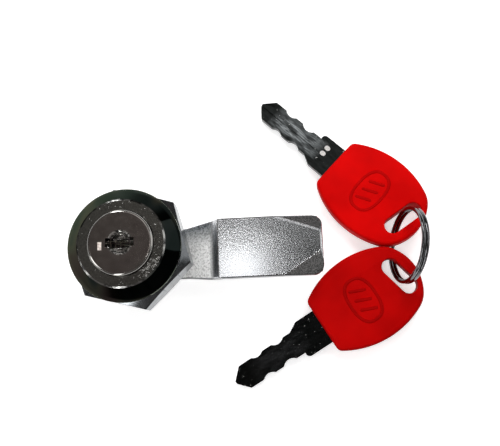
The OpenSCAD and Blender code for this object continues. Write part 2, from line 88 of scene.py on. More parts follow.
# Keys, in millimetres: how far the blade's tip is from the head, the gap under the tip, how high the
# head lies, and the blade's thickness
KEY_REACH = 27.0
TIP_CLEAR = 0.05
HEAD_CLEAR = 2 * RING_RISE + 0.75
BLADE_T = 1.8

# Key heads, in millimetres: length, width, thickness, where the head is widest, the outline's radii
# at the sides, the end and the corners, and the radius of the broken edges
GRIP_L = 28.3
GRIP_W = 22.8
GRIP_T = 4.5
GRIP_WIDEST = 0.47 * GRIP_L
GRIP_SIDE_R = 23.7
GRIP_END_R = 11.9
GRIP_CORNER_R = 7.0
GRIP_FRONT_R = 1.8
GRIP_EDGE = 0.9

# The slot for the ring, in millimetres: its length and width, the wall outside it and its slant
SLOT_L = 10.8
SLOT_W = 4.2
SLOT_WALL = 2.7
SLOT_LEAN = math.radians(-12)
SLOT_EDGE = 0.3
SLOT_X = GRIP_L - SLOT_WALL - SLOT_W / 2

# Grip mark on the heads, in millimetres: its middle, the half sizes of its frame, the bars' half reach
# and spacing, and the width and height of every line
MARK_X = 12.4
MARK_HALF = (4.0, 6.2)
MARK_BAR = (1.7, 0.7)
MARK_PITCH = 2.7
MARK_LINE = 0.8
MARK_H = 0.16

# Punch marks on the shoulder of key 1, in millimetres: start and end, places across, width and height
PUNCH_X = (-4.4, -4.0)
PUNCH_Y = (2.1, 0.2)
PUNCH_W = 1.3
PUNCH_H = 0.03

# How far a raised mark reaches into what it stands on, in millimetres
SUNK = 0.1

# Barrel and its thread, in millimetres: the height where the thread starts below the flange, the flat
# at its root, the share of the pitch that its crest keeps, how far its cutter reaches past the crest,
# and the plain end of the barrel
THREAD_D = 22.0
THREAD_PITCH = 1.5
THREAD_DEPTH = 0.9
THREAD_TOP = -1.3
THREAD_ROOT = 0.16
THREAD_CREST = 0.06
THREAD_OVER = 0.4
BARREL_L = 15.5
BARREL_END = 0.5

# Broken edges of the lock's face: their width and the height where they begin, in millimetres, and
# the least turn of an edge that is broken
FACE_EDGE = 0.12
FACE_FROM = 0.6
FACE_TURN = math.radians(38)

# Faces of the flange: how level its bevel and its broken edges are, by the Z of their normals, and
# how far below the top its broken edges go, in millimetres
BEVEL_LEVEL = (0.7, 0.78)
EDGE_LEVEL = (0.2, 0.995)
EDGE_DEPTH = 0.9

# Corners of a mesh that are closer than this are welded into one, in millimetres
WELD = 1e-4

# How bright the floor and the wall behind it are seen, on top of what lights them
WALL = 0.55

# Where the window is seen from the object
WINDOW_WAY = (0.042, 0.483, 0.875)


# ---------------------------------------------------------------- materials

def colour_ramp(nodes, links, value, stops):
    """A colour ramp whose stops are (position, colour or grey)."""
    node = nodes.new("ShaderNodeValToRGB")
    points = node.color_ramp.elements
    while len(points) < len(stops):
        points.new(0.5)
    for point, (at, colour) in zip(points, stops):
        point.position = at
        point.color = (*colour, 1) if hasattr(colour, "__len__") else (colour,) * 3 + (1,)
    links.new(value, node.inputs["Fac"])
    return node.outputs["Color"]


def mix_colours(nodes, links, how, factor, a, b):
    """Blends a and b, each a socket or a colour, by a factor that is a socket or a number."""
    node = nodes.new("ShaderNodeMix")
    node.data_type = "RGBA"
    node.blend_type = how
    for socket, value in (("Factor", factor), ("A", a), ("B", b)):
        if isinstance(value, bpy.types.NodeSocket):
            links.new(value, node.inputs[socket])
        else:
            node.inputs[socket].default_value = value
    return node.outputs["Result"]


def largest(nodes, links, first, *others):
    """The largest of some values."""
    for other in others:
        node = nodes.new("ShaderNodeMath")
        node.operation = "MAXIMUM"
        links.new(first, node.inputs[0])
        links.new(other, node.inputs[1])
        first = node.outputs[0]
    return first


def axis_values(nodes, links, vector):
    """The X, Y and Z of a vector."""
    node = nodes.new("ShaderNodeSeparateXYZ")
    links.new(vector, node.inputs[0])
    return node.outputs


class Surface:
    """A Principled material and the few nodes that its texture is made of."""

    def __init__(self, name, metallic=0.0, roughness=0.5, **sockets):
        self.mat = bpy.data.materials.new(name)
        self.mat.use_nodes = True
        self.nodes = self.mat.node_tree.nodes
        self.links = self.mat.node_tree.links
        self.bsdf = self.nodes["Principled BSDF"]
        self.bsdf.inputs["Metallic"].default_value = metallic
        self.bsdf.inputs["Roughness"].default_value = roughness
        for socket, value in sockets.items():
            self.bsdf.inputs[socket.replace("_", " ")].default_value = value
        self.place = self.nodes.new("ShaderNodeTexCoord").outputs["Object"]

    def framed(self, scale, yaw, centre=(0, 0, 0)):
        """The place seen from a frame in millimetres: scaled, turned by yaw degrees about Z, at centre."""
        mapping = self.nodes.new("ShaderNodeMapping")
        mapping.vector_type = "TEXTURE"
        mapping.inputs["Location"].default_value = [c * MM for c in centre]
        mapping.inputs["Rotation"].default_value = (0, 0, math.radians(yaw))
        mapping.inputs["Scale"].default_value = [s * MM for s in scale]
        self.links.new(self.place, mapping.inputs["Vector"])
        return mapping.outputs["Vector"]

    def noise(self, size, detail=4.0, stretch=(1, 1, 1), yaw=0):
        """Noise from 0 to 1 whose grains are about size millimetres across, times stretch along each
        axis of a frame turned by yaw."""
        tex = self.nodes.new("ShaderNodeTexNoise")
        tex.inputs["Scale"].default_value = 1.0
        tex.inputs["Detail"].default_value = detail
        self.links.new(self.framed([s * size for s in stretch], yaw), tex.inputs["Vector"])
        return tex.outputs["Fac"]

    def patch(self, centre, half, yaw=0, edge=0.82):
        """1 inside a box of half sizes in millimetres round centre, turned by yaw, and 0 outside it.
        It fades from the share edge of the half sizes."""
        away = self.nodes.new("ShaderNodeVectorMath")
        away.operation = "ABSOLUTE"
        self.links.new(self.framed(half, yaw, centre), away.inputs[0])
        x, y, z = axis_values(self.nodes, self.links, away.outputs["Vector"])
        return self.ramp(largest(self.nodes, self.links, x, y, z), (edge, 1.0), (1.0, 0.0))

    def ramp(self, value, *stops):
        """A colour ramp of a value."""
        return colour_ramp(self.nodes, self.links, value, stops)

    def mix(self, factor, a, b, how="MIX"):
        """a where the factor is 0, and b or the two combined where it is 1."""
        return mix_colours(self.nodes, self.links, how, factor, a, b)

    def radius(self):
        """Distance from the lock's axis in centimetres."""
        flat = self.nodes.new("ShaderNodeVectorMath")
        flat.operation = "MULTIPLY"
        flat.inputs[1].default_value = (1 / (10 * MM), 1 / (10 * MM), 0)
        self.links.new(self.place, flat.inputs[0])
        length = self.nodes.new("ShaderNodeVectorMath")
        length.operation = "LENGTH"
        self.links.new(flat.outputs["Vector"], length.inputs[0])
        return length.outputs["Value"]

    def upright(self):
        """1 on a face that stands upright, and 0 on one that faces up or down."""
        normal = self.nodes.new("ShaderNodeTexCoord").outputs["Normal"]
        level = self.nodes.new("ShaderNodeMath")
        level.operation = "ABSOLUTE"
        self.links.new(axis_values(self.nodes, self.links, normal)["Z"], level.inputs[0])
        return self.ramp(level.outputs[0], (0.42, 1.0), (0.60, 0.0))

    def link(self, value, socket):
        """Feeds one of the material's sockets."""
        self.links.new(value, self.bsdf.inputs[socket])

    def colour(self, value):
        """Feeds the base colour."""
        self.link(value, "Base Color")

    def rough(self, value, low, high):
        """Roughness from low to high."""
        node = self.nodes.new("ShaderNodeMapRange")
        node.inputs["To Min"].default_value = low
        node.inputs["To Max"].default_value = high
        self.links.new(value, node.inputs["Value"])
        self.link(node.outputs["Result"], "Roughness")

    def bump(self, value, height, strength=1.0):
        """Bumps up to height millimetres, over those so far, as strong as a number or a texture says."""
        node = self.nodes.new("ShaderNodeBump")
        if isinstance(strength, bpy.types.NodeSocket):
            self.links.new(strength, node.inputs["Strength"])
        else:
            node.inputs["Strength"].default_value = strength
        node.inputs["Distance"].default_value = height * MM
        self.links.new(value, node.inputs["Height"])
        previous = self.bsdf.inputs["Normal"].links
        if previous:
            self.links.new(previous[0].from_socket, node.inputs["Normal"])
        self.link(node.outputs["Normal"], "Normal")


def mirror_black():
    """Black chrome of the flange's bevel and rim, painted far darker than the same plating on the face as
    a painted dark reflection, with faint green, olive and brown tints at random that are a painted
    reflection.
    """
    s = Surface("mirror_black", metallic=1.0, roughness=0.07, Specular_Tint=(0.62, 0.66, 0.58, 1))
    # Painted dark reflection: a near-black base with random tints of a mirrored room
    s.colour(s.ramp(s.noise(9, 1), (0.36, (0.024, 0.018, 0.017)), (0.46, (0.030, 0.030, 0.023)),
                    (0.54, (0.015, 0.019, 0.018)), (0.62, (0.010, 0.014, 0.013))))
    s.rough(s.noise(1.2), 0.04, 0.10)
    s.bump(s.noise(3.0, 2), 0.01, 0.3)
    return s.mat


def edge_chrome():
    """The face's narrow turned edges, polished bright by wear."""
    s = Surface("edge_chrome", metallic=1.0, roughness=0.16)
    s.colour(s.ramp(s.noise(1.6, 3), (0.38, (0.05, 0.05, 0.05)), (0.6, (0.50, 0.50, 0.48))))
    s.rough(s.noise(0.5), 0.10, 0.22)
    return s.mat


def satin_black():
    """The flat annular face: the same plating, painted lighter than on the bevel as a painted reflection
    of the grey above, on a grained surface, with a few bright pits.
    """
    s = Surface("satin_black", metallic=1.0, roughness=0.3)
    # Painted reflection: the plating is lighter here than on the bevel
    plating = s.ramp(s.noise(0.35), (0.35, (0.17, 0.17, 0.155)), (0.70, (0.31, 0.31, 0.285)))
    corner = s.patch((6.2, -5.6, 3.9), (4.6, 4.0, 1), -40, 0.2)
    pits = s.ramp(s.mix(0.16, s.noise(0.6, 2), corner), (0.585, 0.0), (0.61, 1.0))
    s.colour(s.mix(pits, plating, (0.85, 0.85, 0.83, 1)))
    s.rough(s.noise(0.5), 0.11, 0.20)
    s.bump(s.noise(0.3), 0.004, 0.5)
    s.bump(pits, 0.05, 0.8)
    return s.mat


def plug_chrome():
    """Dark satin chrome with a polished rim, bare metal in the round recess and a cream mark."""
    s = Surface("plug_chrome", metallic=1.0, roughness=0.22)
    plating = s.ramp(s.noise(2.5), (0.3, (0.23, 0.20, 0.185)), (0.75, (0.32, 0.285, 0.265)))
    bare = s.ramp(s.noise(0.5, 3), (0.44, (0.10, 0.10, 0.09)), (0.58, (0.90, 0.89, 0.86)))
    rim = s.ramp(s.radius(), (0.715, 0.0), (0.73, 1.0))
    recess = s.ramp(s.radius(), (0.29, 1.0), (0.31, 0.0))
    mark = s.patch((-4.65, -0.7, 4.9), (0.5, 1.05, 0.15))
    paint = s.ramp(s.noise(0.5), (0.35, (0.42, 0.34, 0.32)), (0.55, (0.85, 0.77, 0.70)))
    s.link(s.ramp(mark, (0.0, 1.0), (1.0, 0.0)), "Metallic")
    polished = s.mix(recess, (0.46, 0.45, 0.43, 1), bare)
    metal = s.mix(s.mix(1.0, rim, recess, "ADD"), plating, polished)
    s.colour(s.mix(mark, metal, paint))
    s.rough(s.mix(1.0, s.noise(0.6), s.ramp(rim, (0.0, 1.0), (1.0, 0.0)), "MULTIPLY"), 0.06, 0.28)
    s.bump(s.noise(0.5), 0.006, 0.4)
    return s.mat


def barrel_zinc():
    """Dull zinc of the threaded barrel."""
    s = Surface("barrel_zinc", metallic=1.0, roughness=0.35)
    s.colour(s.ramp(s.noise(1.5), (0.3, (0.30, 0.31, 0.32)), (0.75, (0.46, 0.47, 0.48))))
    s.rough(s.noise(0.7), 0.25, 0.42)
    s.bump(s.noise(0.25), 0.01, 0.5)
    return s.mat


def zinc_steel():
    """Bright zinc plating of the washers and the cam screw."""
    s = Surface("zinc_steel", metallic=1.0, roughness=0.32)
    s.colour(s.ramp(s.noise(1.2), (0.3, (0.42, 0.43, 0.45)), (0.75, (0.62, 0.63, 0.65))))
    s.rough(s.noise(0.5), 0.24, 0.40)
    s.bump(s.noise(0.2), 0.008, 0.5)
    return s.mat


def nut_steel():
    """Dark zinc plating with faint draw lines up the flats."""
    s = Surface("nut_steel", metallic=1.0, roughness=0.2)
    plating = s.ramp(s.noise(1.8), (0.3, (0.17, 0.18, 0.19)), (0.75, (0.29, 0.305, 0.32)))
    flats = s.ramp(s.noise(1.8, 3), (0.35, (0.11, 0.12, 0.13)), (0.7, (0.20, 0.215, 0.23)))
    s.colour(s.mix(s.upright(), plating, flats))
    s.rough(s.noise(0.8), 0.13, 0.28)
    s.bump(s.noise(0.3, stretch=(1, 1, 5)), 0.012, 0.5)
    s.bump(s.noise(3.0, 2), 0.03, 0.3)
    return s.mat


def cast_zinc():
    """Bright zinc casting with a sandy grain, painted out into an even tone where the highlight falls, a
    matt neck with painted shade towards +Y and a painted pool of light towards -Y, and upright sides
    painted dark as shade."""
    s = Surface("cast_zinc", metallic=1.0, roughness=0.22)
    # Painted highlight: where the highlight falls the grain is painted out into an even tone, with weaker
    # bumps
    highlight_patch = s.patch((28, -6.5, -10), (12, 8, 12), 0, 0.2)
    fine = s.ramp(s.noise(0.30, 4), (0.38, (0.38, 0.39, 0.40)), (0.60, (0.82, 0.83, 0.85)))
    broad = s.ramp(s.noise(3.5, 3), (0.3, 0.84), (0.7, 1.0))
    even = s.ramp(highlight_patch, (0.0, 0.0), (1.0, 0.8))
    plate = s.mix(even, s.mix(1.0, fine, broad, "MULTIPLY"), (0.50, 0.51, 0.53, 1))
    sand = s.noise(0.48, 4)
    # The neck's sand is painted dark towards +Y as painted shade and pale towards -Y as a painted pool of
    # light
    dull = s.ramp(sand, (0.38, (0.05, 0.06, 0.065)), (0.62, (0.29, 0.31, 0.33)))
    pale = s.ramp(sand, (0.38, (0.60, 0.60, 0.59)), (0.56, (1.0, 1.0, 0.99)))
    neck = s.patch((14.2, 0, -13), (5.8, 12, 8), 0, 0.75)
    lower = s.patch((14.2, -8, -13), (30, 14, 20), 0, 0.65)
    face = s.mix(neck, plate, s.mix(lower, dull, pale))
    # Painted shade: upright sides are painted near-black
    s.colour(s.mix(s.upright(), face, (0.05, 0.06, 0.065, 1)))
    s.rough(s.mix(0.85, s.noise(0.3, 3), neck), 0.15, 0.46)
    s.link(s.ramp(neck, (0.0, 1.0), (1.0, 0.1)), "Metallic")
    s.bump(s.noise(0.40, 3), 0.019, s.ramp(highlight_patch, (0.0, 0.9), (1.0, 0.12)))
    return s.mat


def key_nickel(k, painted_blade_light):
    """Dark nickel, with milling marks along the blade of key k, painted brighter or darker by the second
    argument; key 2's darker marks are painted shade.
    """
    yaw = KEY_POSES[k][2]
    s = Surface(f"key_nickel_{k + 1}", metallic=1.0, roughness=0.25)
    streaks = s.noise(0.16, 3, (22, 1, 1), yaw)
    milled = s.patch(key_matrix(KEY_POSES[k]) @ Vector((-13.4, 0.2, 0)), (8.8, 3.2, 3), yaw, 0.5)
    uneven = s.ramp(s.noise(2.2, 2, (2.4, 0.7, 1), yaw), (0.38, 0.2), (0.56, 1.0))
    worn = s.mix(1.0, uneven, milled, "MULTIPLY")
    dark = s.ramp(streaks, (0.35, (0.010, 0.011, 0.010)), (0.7, (0.036, 0.040, 0.040)))
    # The light streaks are scaled down for key 2 as painted shade
    light = s.ramp(streaks, (0.38, (0.08 * painted_blade_light, 0.09 * painted_blade_light, 0.093 * painted_blade_light)),
                   (0.62, (0.42 * painted_blade_light, 0.45 * painted_blade_light, 0.46 * painted_blade_light)))
    specks = s.ramp(s.noise(0.7, 2), (0.70, 0.0), (0.73, 1.0))
    s.colour(s.mix(specks, s.mix(worn, dark, light), (0.70, 0.70, 0.68, 1)))
    s.rough(s.noise(0.4), 0.18, 0.30)
    s.bump(specks, 0.04, 0.7)
    s.bump(streaks, 0.005, 0.6)
    s.bump(s.noise(0.3), 0.003, 0.5)
    return s.mat


def wafer_metal():
    """Pale stamped brass."""
    s = Surface("wafer_metal", metallic=1.0, roughness=0.3)
    s.colour(s.ramp(s.noise(0.6), (0.3, (0.52, 0.49, 0.42)), (0.75, (0.76, 0.73, 0.66))))
    s.bump(s.noise(0.2), 0.01, 0.5)
    return s.mat


def spring_steel():
    """Plain drawn wire."""
    s = Surface("spring_steel", metallic=1.0, roughness=0.25)
    s.colour(s.ramp(s.noise(0.5), (0.3, 0.45), (0.75, 0.62)))
    return s.mat


def ring_chrome():
    """Polished dark wire of the split ring."""
    s = Surface("ring_chrome", metallic=1.0, roughness=0.1)
    s.colour(s.ramp(s.noise(1.5), (0.3, (0.11, 0.11, 0.115)), (0.75, (0.24, 0.24, 0.25))))
    s.rough(s.noise(0.6), 0.06, 0.16)
    s.bump(s.noise(0.4), 0.005, 0.4)
    return s.mat


def red_plastic(name, shade):
    """Moulded plastic painted darker by a factor as painted shade, with a fine spark-eroded grain and a
    faint broad unevenness.
    """
    s = Surface(name, roughness=0.5, Specular_IOR_Level=0.04)
    # The red is scaled down as painted shade for key 2's head and for the grip marks
    s.colour(s.ramp(s.noise(9.0, 2), (0.3, (0.54 * shade, 0.0004, 0.0004)),
                    (0.7, (0.70 * shade, 0.0008, 0.0007))))
    s.rough(s.noise(0.5), 0.44, 0.60)
    s.bump(s.noise(0.16, 3), 0.012, 0.5)
    s.bump(s.noise(6.0, 2), 0.05, 0.3)
    return s.mat


def bright_stamp():
    """Bare bright metal of the punch marks."""
    s = Surface("bright_stamp", metallic=0.6, roughness=0.5)
    s.colour(s.ramp(s.noise(0.3), (0.3, (0.62, 0.60, 0.58)), (0.7, (0.86, 0.84, 0.82))))
    return s.mat


# For each key, how bright its blade's milling marks, its head and its head's grip mark are painted: key
# 2's lower values are painted shade on the whole key, and each grip mark's lower shade is painted shade in
# its relief
KEY_PAINTED_SHADES = ((1.0, 1.0, 0.72), (0.35, 0.72, 0.52))
MATS = {}


def make_materials():
    """Fills MATS with every material, by the name used here. Blender may add a number to its own."""
    for maker in (mirror_black, edge_chrome, satin_black, plug_chrome, barrel_zinc, zinc_steel, nut_steel,
                  cast_zinc, wafer_metal, spring_steel, ring_chrome, bright_stamp):
        MATS[maker.__name__] = maker()
    # Key 2's darker copies and the darker grip marks are painted shade
    for k, (painted_blade_light, head, mark) in enumerate(KEY_PAINTED_SHADES):
        MATS[f"key_nickel_{k + 1}"] = key_nickel(k, painted_blade_light)
        MATS[f"red_plastic_{k + 1}"] = red_plastic(f"red_plastic_{k + 1}", head)
        MATS[f"red_relief_{k + 1}"] = red_plastic(f"red_relief_{k + 1}", mark)


# ---------------------------------------------------------------- mesh helpers

def add_piece(name, bm, mats, body, replaces=(), smooth_angle=35):
    """Makes a piece of a bmesh in millimetres, with its materials, body and replaced nodes."""
    bmesh.ops.recalc_face_normals(bm, faces=bm.faces)
    mesh = to_mesh(name, bm)
    mesh.transform(Matrix.Scale(MM, 4))
    piece = add_object(name, mesh)
    for mat in mats:
        mesh.materials.append(MATS[mat])
    soften(mesh, smooth_angle)
    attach(piece, body)
    if replaces:
        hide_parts(*replaces)


def add_object(name, data):
    """Puts a mesh, a lamp or a camera in the scene."""
    thing = bpy.data.objects.new(name, data)
    bpy.context.scene.collection.objects.link(thing)
    return thing


def to_mesh(name, bm):
    """A mesh of a bmesh, which is freed."""
    mesh = bpy.data.meshes.new(name)
    bm.to_mesh(mesh)
    bm.free()
    return mesh


def soften(mesh, angle):
    """Smooth shading, with edges sharper than angle degrees kept crisp."""
    for polygon in mesh.polygons:
        polygon.use_smooth = True
    mesh.set_sharp_from_angle(angle=math.radians(angle))


def copy_of_node(node):
    """A welded bmesh copy of a CAD node, in millimetres."""
    bm = bmesh.new()
    bm.from_mesh(NODES[node].data)
    bmesh.ops.scale(bm, vec=(1 / MM,) * 3, verts=bm.verts)
    bmesh.ops.remove_doubles(bm, verts=bm.verts, dist=WELD)
    return bm


def add_loop(bm, points, z):
    """Points of an outline at one height."""
    return [bm.verts.new((x, y, z)) for x, y in points]


def skin(bm, loops):
    """Faces from each closed loop to the next one, all of as many points."""
    for a, b in zip(loops, loops[1:]):
        for i in range(len(a)):
            j = (i + 1) % len(a)
            bm.faces.new((a[i], a[j], b[j], b[i]))


def close_ends(bm, loops):
    """A flat face on the first and on the last loop."""
    bm.faces.new(loops[0])
    bm.faces.new(loops[-1])


def fill(bm, loops):
    """A flat face with holes: the first loop is the outside."""
    verts = [v for loop in loops for v in loop]
    for tri in tessellate_polygon([[v.co for v in loop] for loop in loops]):
        bm.faces.new([verts[i] for i in tri])


def arc(centre, radius, start, end, steps):
    """Points round centre from one angle to another, in radians, both ends included."""
    angles = [start + (end - start) * i / steps for i in range(steps + 1)]
    return [(centre[0] + radius * math.cos(a), centre[1] + radius * math.sin(a)) for a in angles]


# ---------------------------------------------------------------- lock body

def thread_cutter():
    """A helical wedge that cuts the barrel's thread."""
    steps = 48
    turns = (BARREL_L - BARREL_END + THREAD_TOP) / THREAD_PITCH
    crest = THREAD_D / 2
    root = crest - THREAD_DEPTH
    out = crest + THREAD_OVER
    at_crest = THREAD_PITCH * (1 - THREAD_CREST) / 2
    at_out = at_crest * (out - root) / (crest - root)
    wedge = ((root, THREAD_ROOT / 2), (root, -THREAD_ROOT / 2), (out, -at_out), (out, at_out))
    bm = bmesh.new()
    sections = []
    for i in range(int(turns * steps) + 1):
        a = 2 * math.pi * i / steps
        z = THREAD_TOP - THREAD_PITCH * i / steps
        sections.append([bm.verts.new((r * math.cos(a), r * math.sin(a), z + dz)) for r, dz in wedge])
    skin(bm, sections)
    close_ends(bm, sections)
    bmesh.ops.recalc_face_normals(bm, faces=bm.faces)
    return add_object("cutter", to_mesh("cutter", bm))


def cut_thread():
    """The CAD body with its thread cut, as a bmesh in millimetres."""
    blank = add_object("body", to_mesh("body", copy_of_node("lock_body")))
    cutter = thread_cutter()
    cut = blank.modifiers.new("thread", "BOOLEAN")
    cut.operation = "DIFFERENCE"
    cut.solver = "MANIFOLD"
    cut.object = cutter
    bpy.context.view_layer.update()
    bm = bmesh.new()
    bm.from_mesh(blank.evaluated_get(bpy.context.evaluated_depsgraph_get()).to_mesh())
    bpy.data.objects.remove(blank)
    bpy.data.objects.remove(cutter)
    bmesh.ops.remove_doubles(bm, verts=bm.verts, dist=WELD)
    return bm


def lock_body():
    """The threaded body with its face's edges broken, and each surface in its own finish."""
    bm = cut_thread()
    crisp = [e for e in bm.edges if min(v.co.z for v in e.verts) > FACE_FROM
             and len(e.link_faces) == 2 and e.calc_face_angle() > FACE_TURN]
    bmesh.ops.bevel(bm, geom=crisp, offset=FACE_EDGE, segments=3, profile=0.5, affect="EDGES")
    finishes = ("mirror_black", "edge_chrome", "satin_black", "barrel_zinc")
    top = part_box("lock_body")[1].z / MM
    for face in bm.faces:
        face.material_index = finishes.index(face_finish(face, top))
    add_piece("lock_body_threaded", bm, finishes, "lock", ["lock_body"], smooth_angle=9)


def face_finish(face, top):
    """The finish of one face of the body: bare below the flange, satin on top, with polished edges,
    and mirror black on the flange's bevel and rim."""
    z = face.calc_center_median().z
    level = face.normal.z
    on_bevel = BEVEL_LEVEL[0] < level < BEVEL_LEVEL[1]
    on_edge = EDGE_LEVEL[0] < level < EDGE_LEVEL[1] and not on_bevel
    if z < 0.02:
        return "barrel_zinc"
    if z > top - EDGE_DEPTH and on_edge:
        return "edge_chrome"
    if z > top - 0.05:
        return "satin_black"
    return "mirror_black"


# ---------------------------------------------------------------- keys

def key_matrix(pose):
    """Where a key lies, as in the CAD: local +X from the blade's tip to the head."""
    out_x, out_y, yaw, flip = pose
    lift = HEAD_CLEAR + (GRIP_T - BLADE_T) / 2
    tilt = math.asin(lift / (KEY_REACH + SLOT_X))
    z = FLOOR_Z + TIP_CLEAR + KEY_REACH * math.sin(tilt) + BLADE_T / 2 * math.cos(tilt)
    return (Matrix.Translation((RING_AT[0] + RING_R * out_x, RING_AT[1] + RING_R * out_y, z))
            @ Matrix.Rotation(math.radians(yaw), 4, "Z")
            @ Matrix.Translation((-SLOT_X * math.cos(tilt), 0, 0))
            @ Matrix.Rotation(-tilt, 4, "Y") @ Matrix.Rotation(math.radians(flip), 4, "X"))


def heading(arrow):
    """The angle of a vector in the plane."""
    return math.atan2(arrow.y, arrow.x)


def head_outline(inset):
    """Plan of a key's head, drawn in by inset: tangent arcs and a straight front."""
    side = Vector((GRIP_WIDEST, GRIP_W / 2 - GRIP_SIDE_R))
    end = Vector((GRIP_L - GRIP_END_R, 0))
    reach_a, reach_b = GRIP_END_R - GRIP_CORNER_R, GRIP_SIDE_R - GRIP_CORNER_R
    gap = side - end
    along = (reach_a ** 2 - reach_b ** 2 + gap.length_squared) / (2 * gap.length)
    off = math.sqrt(reach_a ** 2 - along ** 2)
    unit = gap.normalized()
    corner = max((end + unit * along + Vector((-unit.y, unit.x)) * off * s for s in (1, -1)),
                 key=lambda p: p.x)
    front_rise = math.sqrt((GRIP_SIDE_R - GRIP_FRONT_R) ** 2 - (GRIP_WIDEST - GRIP_FRONT_R) ** 2)
    front = Vector((GRIP_FRONT_R, front_rise + side.y))
    at_front, at_side, at_end = heading(front - side), heading(corner - side), heading(corner - end)
    half = (arc(front, GRIP_FRONT_R - inset, math.pi, at_front, 10)
            + arc(side, GRIP_SIDE_R - inset, at_front, at_side, 36)[1:]
            + arc(corner, GRIP_CORNER_R - inset, at_side, at_end, 14)[1:]
            + arc(end, GRIP_END_R - inset, at_end, 0, 12)[1:])
    return half + [(x, -y) for x, y in reversed(half[:-1])]


def slot_outline(grow):
    """The ring slot's round-ended outline, widened by grow."""
    r = SLOT_W / 2 + grow
    straight = (SLOT_L - SLOT_W) / 2
    points = arc((0, straight), r, 0, math.pi, 12) + arc((0, -straight), r, math.pi, 2 * math.pi, 12)
    lean = Matrix.Rotation(SLOT_LEAN, 2)
    return [(SLOT_X + p.x, p.y) for p in (lean @ Vector(point) for point in points)]


def rounded_levels(edge, half_t, steps):
    """Pairs of inset and height for a plate with rounded edges, from bottom to top."""
    quarter = [(edge * (1 - math.sin(t)), half_t - edge * (1 - math.cos(t)))
               for t in (math.pi / 2 * i / steps for i in range(steps + 1))]
    return [(inset, -z) for inset, z in quarter] + [(inset, z) for inset, z in reversed(quarter)]


def add_to_key(name, bm, mat, k, replaces=(), smooth_angle=35):
    """Makes a piece of key k from a bmesh in the key's own frame."""
    bmesh.ops.transform(bm, matrix=key_matrix(KEY_POSES[k]), verts=bm.verts)
    add_piece(name, bm, (mat,), f"key_{k + 1}", replaces, smooth_angle)


def key_head(k):
    """The moulded head of key k: a plate with rounded edges and the slot for the ring."""
    bm = bmesh.new()
    half_t = GRIP_T / 2
    outer = [add_loop(bm, head_outline(inset), z) for inset, z in rounded_levels(GRIP_EDGE, half_t, 6)]
    inner = [add_loop(bm, slot_outline(grow), z) for grow, z in rounded_levels(SLOT_EDGE, half_t, 4)]
    skin(bm, outer)
    skin(bm, inner)
    fill(bm, [outer[0], inner[0]])
    fill(bm, [outer[-1], inner[-1]])
    add_to_key(f"key_head_{k + 1}_moulded", bm, f"red_plastic_{k + 1}", k,
               [f"key_head_{k + 1}"], smooth_angle=40)


def raised_bar(bm, start, end, width, base, height, side=1):
    """A low bar with round ends and sloping flanks on the upper or lower face, side 1 or -1."""
    slope = height * 0.9
    turn = heading(Vector(end) - Vector(start))
    loops = []
    for r, z in ((width / 2, base - SUNK), (width / 2, base), (width / 2 - slope, base + height)):
        points = (arc(end, r, turn - math.pi / 2, turn + math.pi / 2, 8)
                  + arc(start, r, turn + math.pi / 2, turn + 1.5 * math.pi, 8))
        loops.append(add_loop(bm, points, z * side))
    skin(bm, loops)
    close_ends(bm, loops)


def oval(half_x, half_y):
    """An oval round the grip mark's middle, a little squarer than an ellipse."""
    steps, power = 56, 0.8
    points = []
    for i in range(steps):
        t = 2 * math.pi * i / steps
        x = math.copysign(abs(math.cos(t)) ** power, math.cos(t))
        y = math.copysign(abs(math.sin(t)) ** power, math.sin(t))
        points.append((MARK_X + half_x * x, half_y * y))
    return points


def key_emblem(k):
    """A plain moulded grip mark on both faces: an oval frame round three slanted bars."""
    bm = bmesh.new()
    base = GRIP_T / 2
    along, across = MARK_BAR
    half_x, half_y = MARK_HALF
    profile = ((0, base - SUNK), (0, base), (-MARK_H, base + MARK_H),
               (MARK_H - MARK_LINE, base + MARK_H), (-MARK_LINE, base), (-MARK_LINE, base - SUNK))
    for side in (1, -1):
        for y in (-MARK_PITCH, 0.0, MARK_PITCH):
            raised_bar(bm, (MARK_X - along, y - across), (MARK_X + along, y + across),
                       MARK_LINE, base, MARK_H, side)
        loops = [add_loop(bm, oval(half_x + grow, half_y + grow), z * side) for grow, z in profile]
        skin(bm, loops + loops[:1])
    add_to_key(f"key_emblem_{k + 1}", bm, f"red_relief_{k + 1}", k)


def key_stamp():
    """Two plain bright punch marks on the shoulder of key 1."""
    bm = bmesh.new()
    start_x, end_x = PUNCH_X
    for y in PUNCH_Y:
        raised_bar(bm, (start_x, y), (end_x, y), PUNCH_W, BLADE_T / 2, PUNCH_H)
    add_to_key("key_stamp", bm, "bright_stamp", 0)


# ---------------------------------------------------------------- split ring

def split_ring():
    """Two turns of wire, one lying on the other, with a cranked step that both free ends meet."""
    steps, step_share, sides = 144, 16, 16
    half_turn = (RING_WIRE - RING_PRESS) / 2
    step = 2 * math.pi * step_share / steps
    bm = bmesh.new()
    sections = []
    for i in range(2 * steps - step_share):
        turned = 2 * math.pi * i / steps
        share = min(1.0, max(0.0, (turned - 2 * math.pi + step) / step))
        z = half_turn * (2 * (3 * share ** 2 - 2 * share ** 3) - 1)
        a = RING_START + turned
        section = []
        for j in range(sides):
            t = 2 * math.pi * j / sides
            r = RING_R + RING_WIRE / 2 * math.cos(t)
            high = (half_turn - RING_GAP / 2) * math.sin(t)
            section.append(bm.verts.new((r * math.cos(a), r * math.sin(a), z + high)))
        sections.append(section)
    skin(bm, sections)
    close_ends(bm, sections)
    place = (Matrix.Translation((*RING_AT, RING_Z)) @ Matrix.Rotation(RING_YAW, 4, "Z")
             @ Matrix.Rotation(RING_LEAN, 4, "X"))
    bmesh.ops.transform(bm, matrix=place, verts=bm.verts)
    add_piece("split_ring_wire", bm, ("ring_chrome",), "ring", ["split_ring"],
              smooth_angle=50)


# ---------------------------------------------------------------- CAD nodes that stay

